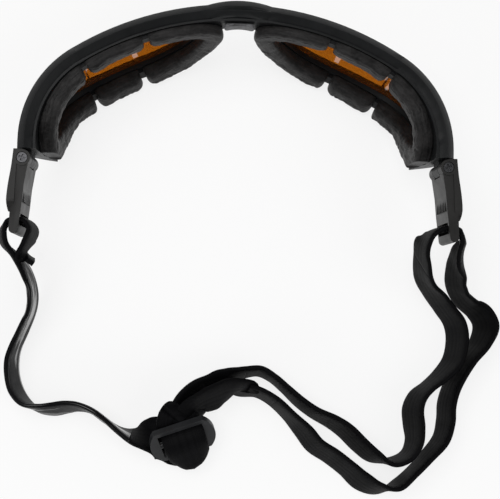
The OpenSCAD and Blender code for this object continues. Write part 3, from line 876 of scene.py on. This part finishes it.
class Ends(Enum):
    """The strap's stretches in order: the CAD node, and the body at the start and at the end of each."""

    LEFT_LOOP = ("strap_loop_left", "left_arm", None)
    LEFT_RUN = ("strap_run_left", "left_arm", "goggle")
    FOLD = ("strap_fold", "goggle", "slider")
    LEAD = ("strap_lead", "slider", "goggle")
    OUTER = ("strap_ply_outer", "goggle", "right_arm")
    RIGHT_LOOP = ("strap_loop_right", "right_arm", None)
    INNER = ("strap_ply_inner", "right_arm", "goggle")
    END = ("strap_end", "goggle", "slider")

    @property
    def glossy(self) -> bool:
        """Whether this stretch shows the webbing's smooth face."""
        return self is Ends.LEFT_RUN

    def bend(self, first: np.ndarray, last: np.ndarray, reach: float) -> tuple[tuple, tuple]:
        """Where the stretch would start and stop to bend between its two bodies.

        Beside an arm the bend would lie only within a reach of the arm's end of the stretch, which goes
        rearwards and a little inwards.

        Args:
            first: the stretch's first point in metres.
            last: its last point.
            reach: length of the part that would bend beside an arm.
        """
        inwards, rearwards = 0.25, 0.97
        side = 1 if self is Ends.LEFT_RUN else -1
        away = reach * np.array([side * inwards, -rearwards, 0.0])
        if self in (Ends.LEFT_RUN, Ends.INNER):
            last = first + away
        elif self is Ends.OUTER:
            first = last + away
        return tuple(first), tuple(last)


Row = list[float]


@dataclass
class Strap:
    """The elastic strap: one length of webbing drawn in eight stretches, each a flat section on a route.

    A route point holds x, y, z, the heading and rise of the webbing's width in degrees, and how far its
    middle bulges away from the slider. loop_z, slot_x and slot_y place the arms' slots, and the leans are
    degrees for each millimetre outside and inside a slot. steps is the samples from one route point to the
    next, bar the radius of the turn round the slider's bar, clear the space under the webbing, reach the
    length in metres that would bend beside an arm, and ply_gap the space between the plies from the slider
    on.
    """

    slider: SliderPlace = field(default_factory=SliderPlace)
    width: float = 15.0
    thickness: float = 2.1
    loop_z: float = 28.5
    slot_x: float = 72.6015
    slot_y: float = -73.4864
    steps: int = 9
    columns: int = 40
    outer_lean: float = 3.0
    inner_lean: float = 0.7
    bar: float = 2.2
    clear: float = 0.1
    pinch: float = 0.014
    reach: float = 0.038
    ply_gap: tuple[float, ...] = (0, 2.5, 3.4, 4.2, 4.4, 4.6, 5)

    def at_slot(self, side: Side, out: float, back: float, down: float) -> Row:
        """A route point beside an arm's slot; the webbing's upper edge leans in towards the slot."""
        rise = 90 + side.value * (self.outer_lean * max(out, 0) + self.inner_lean * min(out, 0))
        return [side.value * (self.slot_x + out), self.slot_y - back, self.loop_z - down, 0, rise, 0]

    def hung(self, *rows: Row) -> list[Row]:
        """Route points off the surface, with z over the middle of upright webbing and perhaps a bulge."""
        middle = self.width / 2 + self.clear
        return [[x, y, middle + over, heading, rise, *(bulge or [0])]
                for x, y, over, heading, rise, *bulge in rows]

    def resting(self, *rows: Row) -> list[Row]:
        """Route points of webbing that rests on one edge: its height follows from its rise."""
        half_width, half_thick = self.width / 2, self.thickness / 2
        tilt = [math.radians(row[3]) for row in rows]
        return [[x, y, half_width * math.sin(a) + half_thick * math.cos(a) + self.clear, heading, rise, 0]
                for (x, y, heading, rise), a in zip(rows, tilt)]

    def left_loop(self) -> list[Row]:
        """The sewn loop through the left arm's slot."""
        stops = ((-5, 13.5, 3), (-2, 10.9, 2), (-3.6, 7.1, 0), (-5, 3.1, 0), (-3.2, 0.4, 0), (0, 0, 0),
                 (3.2, 0.7, 0), (4.9, 3.5, 0), (4.4, 7.5, 0.5), (1.6, 11.1, 2))
        return [self.at_slot(Side.LEFT, *stop) for stop in stops]

    def left_run(self) -> list[Row]:
        """From the left loop down to the surface and along it to the slider."""
        return self.hung(
            [-71.8, -88.6, 15.4, 0, 90], [-70.2, -92.8, 9.9, 0, 90],
            [-69.7, -98, 4.9, 0, 90], [-70.6, -103.7, 1, 165, 88]) + self.resting(
            [-73.2, -110.4, 157, 86], [-75.5, -115.9, 161, 85], [-76.6, -120.5, 178, 83],
            [-76.4, -125.8, 194, 83], [-74.9, -130.9, 211, 83], [-71.7, -135.1, 231, 88],
            [-67, -137.3, 75, 78], [-62, -137.5, 95, 72], [-57.5, -136.7, 96, 73], [-53.4, -136.5, 77, 77],
            [-48.5, -137.8, 60, 82], [-43.8, -141, 55, 82], [-39, -144.4, 57, 88])

    def fold(self) -> list[Row]:
        """Under the slider, round its lower rail in a cupped fold, over its bar and down its window."""
        under = self.hung([-34.6, -146.4, -0.1, 262, 80], [-31, -147, -0.5, 256, 66],
                          [-27.6, -147.2, -1.9, 240, 44], [-24, -147.6, -4.3, 214, 18])
        wide = 180 + self.slider.turn
        cup = [[-20.4, -148.9, 2.4, 203, 4, 0.3], [-17.6, -150.6, 2.5, 200, 0, 1.5],
               [-15.6, -152, 3.3, 200, 0, 3], [-14.5, -152.5, 4.8, wide, 0, 4],
               [-14.1, -152.8, 6.4, wide, 0, 4.3]]
        over = [self.slider.point(*row) for row in (
            (7.8, 2.3, 3.5), (6, 3.1, 2.2), (3.2, 3.9, 0.9), (0.3, 4.3, 0.2), (-2.3, 3.8), (-3.9, 2.1),
            (-4.3, 0.2), (-4.55, -1.3), (-5.5, -2.2))]
        return under + cup + over

    def near(self) -> list[Row]:
        """The inner ply from the slider outwards, as it turns from flat to upright."""
        return [self.slider.point(-5.6, -4.7, 3.4)] + self.hung(
            [-15.6, -136, 5.6, 190, 34, 1.2], [-13.7, -132.8, 6.6, 180, 43], [-10.9, -130.4, 6.2, 162, 51],
            [-7.1, -128.7, 4.6, 142, 57], [-3.1, -126.6, 2.4, 122, 65], [0.9, -124.8, 0.8, 104, 72],
            [5, -123.7, 0.2, 90, 75])

    def lead(self) -> list[Row]:
        """The outer ply beside the inner one, from the slider outwards."""
        near = self.near()
        return [self.slider.point(-6.8, -2.45)] + [
            self.beside(near, i) for i in range(1, len(self.ply_gap))] + self.hung(
            [4.6, -129.9, 0.5, 92, 72], [9.8, -130.6, 0.1, 70, 76])

    def outer(self) -> list[Row]:
        """The outer ply along the surface and up to the right arm."""
        return self.resting(
            [15.5, -133.7, 46, 76], [21.1, -138.8, 43, 75], [26.2, -144.1, 43, 68], [30.3, -149, 50, 66],
            [36, -152.6, 54, 66], [41.9, -157, 56, 66], [47.3, -161.5, 67, 62], [53, -163.7, 90, 70],
            [59.3, -162.6, 300, 88], [64.9, -157.8, 313, 88], [70, -152.3, 320, 86],
            [74.9, -146.3, 332, 82], [76.6, -139.8, 347, 79], [76.9, -134.1, 353, 79],
            [78.3, -128.8, 343, 80], [80.9, -123.4, 328, 80], [84.6, -117.5, 323, 79],
            [88.8, -112, 333, 75], [90.9, -106, 0, 68]) + self.hung(
            [88.5, -101.1, 0, 32, 69], [83.6, -97.5, 1, 44, 76], [80, -93.1, 4.4, 40, 82],
            [78.2, -88.5, 9.4, 22, 86], [77.6, -84.4, 14.9, 8, 88])

    def right_loop(self) -> list[Row]:
        """Through the right arm's slot, from outside to inside."""
        stops = ((4.6, 7.1, 1.4), (4.8, 3.5, 0), (3.2, 0.7, 0), (0, 0, 0), (-3.2, 0.1, 0), (-6.4, 1.9, 0),
                 (-8.2, 5.9, 1.6))
        return [self.at_slot(Side.RIGHT, *stop) for stop in stops]

    def inner(self) -> list[Row]:
        """The inner ply from the right arm back along the surface."""
        return self.hung(
            [65.2, -84.5, 14.4, 22, 88], [67.6, -90.2, 8.4, 30, 85], [71.9, -95.4, 3.4, 41, 79],
            [76.1, -100.3, 0.8, 40, 76]) + self.resting(
            [79.6, -105.1, 20, 73], [80.6, -111.2, 355, 73], [79.1, -118.3, 333, 75],
            [74.9, -123.6, 317, 80], [70.2, -127.7, 314, 84], [66.5, -131.4, 332, 78],
            [64.9, -136.1, 356, 73], [65.3, -141.5, 3, 72], [65.4, -147.2, 350, 78],
            [62.8, -152.2, 317, 85], [57.5, -154.4, 274, 89], [51.4, -152.7, 66, 72],
            [46.2, -148.7, 55, 69], [41.2, -143.9, 56, 69], [36.3, -140.6, 62, 71],
            [29.8, -137.4, 61, 75], [24.6, -133.8, 55, 77], [19.5, -129.3, 51, 80],
            [15, -125.6, 57, 80], [10.2, -123.2, 72, 77])

    def end(self) -> list[Row]:
        """The inner ply's end: back to the slider and round its centre bar."""
        on = self.slider.point
        turns = [math.radians(a) for a in range(-50, 231, 40)]
        round_bar = [on(self.bar * math.cos(a), self.bar * math.sin(a)) for a in turns]
        return self.near()[::-1] + [on(-3.8, -4.9, 1), on(-2, -4.5), on(-0.1, -3.3)] + round_bar

    def beside(self, route: list[Row], i: int) -> Row:
        """A point that lies against route point i on the side of the webbing that faces outwards."""
        p = np.array(route[i])
        ahead = unit(np.array(route[i + 1][:3]) - np.array(route[i - 1][:3]))
        lean = self.lean(p[None, :])[0]
        across = unit(lean - (lean @ ahead) * ahead)
        return [*(p[:3] + self.ply_gap[i] * np.cross(ahead, across)), *p[3:]]

    @staticmethod
    def lean(points: np.ndarray) -> np.ndarray:
        """Direction of the webbing's width from its heading and rise in degrees."""
        heading, rise = np.radians(points[:, 3]), np.radians(points[:, 4])
        level = np.cos(rise)
        return np.stack([np.cos(heading) * level, np.sin(heading) * level, np.sin(rise)], axis=1)

    def rings(self, curve: np.ndarray) -> np.ndarray:
        """The webbing's section set square to the route at every sample.

        The section is a flat oval: half-width times sign(cos)|cos|^0.4 across, and half-thickness times
        sign(sin)|sin|^0.6 out, so its faces are nearly flat and its edges are round. The bulge pushes each
        point away from the slider by 1 minus the square of its share of the half-width, and draws the two
        edges in by pinch times its square.

        Args:
            curve: samples of place, width direction and bulge, seven columns.

        Returns:
            samples x columns x 3 points.
        """
        here, lean, bulge = curve[:, :3], curve[:, 3:6], curve[:, 6]
        ahead = unit(np.gradient(here, axis=0))
        across = unit(lean - np.sum(lean * ahead, axis=1, keepdims=True) * ahead)
        out = np.cross(ahead, across)
        a = np.linspace(0, 2 * np.pi, self.columns + 1)[:-1]
        share = squared(np.cos(a), 0.4)
        thick = self.thickness / 2 * squared(np.sin(a), 0.6)
        turn = math.radians(self.slider.turn)
        away = np.array([math.sin(turn), -math.cos(turn), 0.0])
        half = self.width / 2 * (1 - self.pinch * bulge ** 2)
        flat = (here[:, None] + half[:, None, None] * share[:, None] * across[:, None]
                + thick[:, None] * out[:, None])
        return flat + (bulge[:, None] * (1 - share ** 2))[..., None] * away

    def build(self, finishes: Finishes) -> None:
        """Make the eight stretches from one smooth curve, so that their ends meet."""
        routes = [self.left_loop(), self.left_run(), self.fold(), self.lead(),
                  self.outer(), self.right_loop(), self.inner(), self.end()]
        points = np.array([p for route in routes for p in route])
        curve = spline(np.hstack([points[:, :3], self.lean(points), points[:, 5:]]), self.steps)
        rings = self.rings(curve)
        pace = np.linalg.norm(np.diff(curve[:, :3], axis=0), axis=1)
        length = np.concatenate([[0], np.cumsum(pace)])
        girth = np.linspace(0, 2 * self.width + 2 * self.thickness, self.columns + 1)
        starts = np.cumsum([0] + [len(route) * self.steps for route in routes])
        for ends, first, last in zip(Ends, starts[:-1], starts[1:]):
            node, body, other = ends.value
            stop = min(last, len(curve) - 1) + 1
            name = node.replace("strap", "webbing")
            piece = skin_mesh(name, rings[first:stop], length[first:stop], girth)
            finish = finishes.webbing_face if ends.glossy else finishes.webbing_back
            dress(piece, finish, "strap_webbing", None if other else body, node)
            if other:
                line = placed(curve[first:stop, :3])
                start, end = ends.bend(line[0], line[-1], self.reach)
                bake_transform(piece)


@dataclass
class Slider:
    """The two-window slider on the doubled strap."""

    edge: float = 0.45

    def build(self, finishes: Finishes) -> None:
        """Round the slider's edges and dress it."""
        piece = softened("slider_shell", "strap_slider", self.edge)
        dress(piece, finishes.slider, "slider_black", "slider", "strap_slider")


# Room


@dataclass(frozen=True)
class Lamp:
    """A square soft lamp that faces the object: its place and side in metres, and its power in watts."""

    name: str
    place: tuple[float, float, float]
    size: float
    power: float

    def build(self) -> None:
        """Hang the lamp."""
        data = bpy.data.lights.new(self.name, "AREA")
        data.size = self.size
        data.energy = self.power
        lamp = linked(self.name, data)
        lamp.location = self.place
        lamp.rotation_euler = (-Vector(self.place)).to_track_quat("-Z", "Y").to_euler()


@dataclass
class Studio:
    """Pale floor, soft light and the camera at the photograph's angle.

    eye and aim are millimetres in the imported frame. glow is the share of white that the floor shows of
    itself, sky the strength of the light from all round, and floor_half and floor_drop are metres.
    """

    eye: tuple[float, float, float] = (-19.2, -21.6, 400.0)
    aim: tuple[float, float, float] = (-1.6, 3.2, 0.0)
    up: tuple[float, float, float] = (-0.0175, 0.9998, 0.0)
    lens: float = 79.7
    sensor: float = 36.0
    floor_half: float = 6.0
    floor_drop: float = 0.00005
    glow: float = 0.8
    sky: float = 0.28
    lamps: tuple[Lamp, ...] = (Lamp("key", (-0.18, 0.16, 0.78), 0.5, 3.5),
                               Lamp("fill", (0.5, -0.2, 0.55), 0.5, 1.3),
                               Lamp("low", (-0.45, -0.5, 0.3), 0.35, 1.0))

    def build(self) -> None:
        """Set up the room."""
        scene = bpy.context.scene
        scene.view_settings.view_transform = "Standard"
        self.camera(scene)
        self.floor()
        self.world(scene)
        for lamp in self.lamps:
            lamp.build()

    def camera(self, scene: bpy.types.Scene) -> None:
        """Camera on the photograph's line of sight."""
        data = bpy.data.cameras.new("camera")
        data.lens = self.lens
        data.sensor_width = self.sensor
        camera = linked("camera", data)
        eye, aim = Vector(self.eye) * MM, Vector(self.aim) * MM
        back = (eye - aim).normalized()
        right = Vector(self.up).cross(back).normalized()
        turn = Matrix((right, back.cross(right), back)).transposed()
        camera.matrix_world = Matrix.Translation(eye) @ turn.to_4x4()
        scene.camera = camera

    def floor(self) -> None:
        """Pale floor: white to the camera and to glossy and clear surfaces, and it keeps a soft shadow."""
        mesh = bpy.data.meshes.new("floor")
        half = self.floor_half
        corners = [(-half, -half, 0), (half, -half, 0), (half, half, 0), (-half, half, 0)]
        mesh.from_pydata(corners, [], [(0, 1, 2, 3)])
        floor = linked("floor", mesh)
        floor.location.z = -self.floor_drop
        n = Nodes("floor")
        n.set(Base_Color=(0.9, 0.9, 0.9, 1), Roughness=0.9)
        glow = n.tree.nodes.new("ShaderNodeEmission")
        glow.inputs["Color"].default_value = (1, 1, 1, 1)
        mix = n.tree.nodes.new("ShaderNodeMixShader")
        n.put(mix, 0, n.math("MULTIPLY", self.seen(n), self.glow))
        n.put(mix, 1, n.shader.outputs[0])
        n.put(mix, 2, glow.outputs[0])
        n.put(n.out, 0, mix.outputs[0])
        floor.data.materials.append(n.material)

    @staticmethod
    def seen(n: Nodes) -> Socket:
        """1 for camera, glossy and transmission rays."""
        path = n.tree.nodes.new("ShaderNodeLightPath")
        clear = n.math("MAXIMUM", path.outputs["Is Glossy Ray"], path.outputs["Is Transmission Ray"])
        return n.math("MAXIMUM", path.outputs["Is Camera Ray"], clear)

    def world(self, scene: bpy.types.Scene) -> None:
        """Even pale light from all round, and white where the camera sees past the floor."""
        world = bpy.data.worlds.new("room")
        world.use_nodes = True
        scene.world = world
        tree = world.node_tree
        tree.nodes.clear()
        out = tree.nodes.new("ShaderNodeOutputWorld")
        back = tree.nodes.new("ShaderNodeBackground")
        path = tree.nodes.new("ShaderNodeLightPath")
        level = tree.nodes.new("ShaderNodeMapRange")
        level.inputs["To Min"].default_value = self.sky
        level.inputs["To Max"].default_value = 1.0
        tree.links.new(path.outputs["Is Camera Ray"], level.inputs[0])
        tree.links.new(level.outputs[0], back.inputs["Strength"])
        tree.links.new(back.outputs[0], out.inputs[0])
        back.inputs["Color"].default_value = (1, 1, 1, 1)


def main() -> None:
    """Build the room and every sub-assembly in order."""
    logging.basicConfig(level=logging.INFO, format="%(message)s")
    Studio().build()
    finishes = Finishes()
    shell = FrameShell()
    for part in (shell, Gasket(shell), StrapArms(), Strap(), Slider()):
        part.build(finishes)
        log.info("built %s", type(part).__name__)


if __name__ == "__main__":
    main()
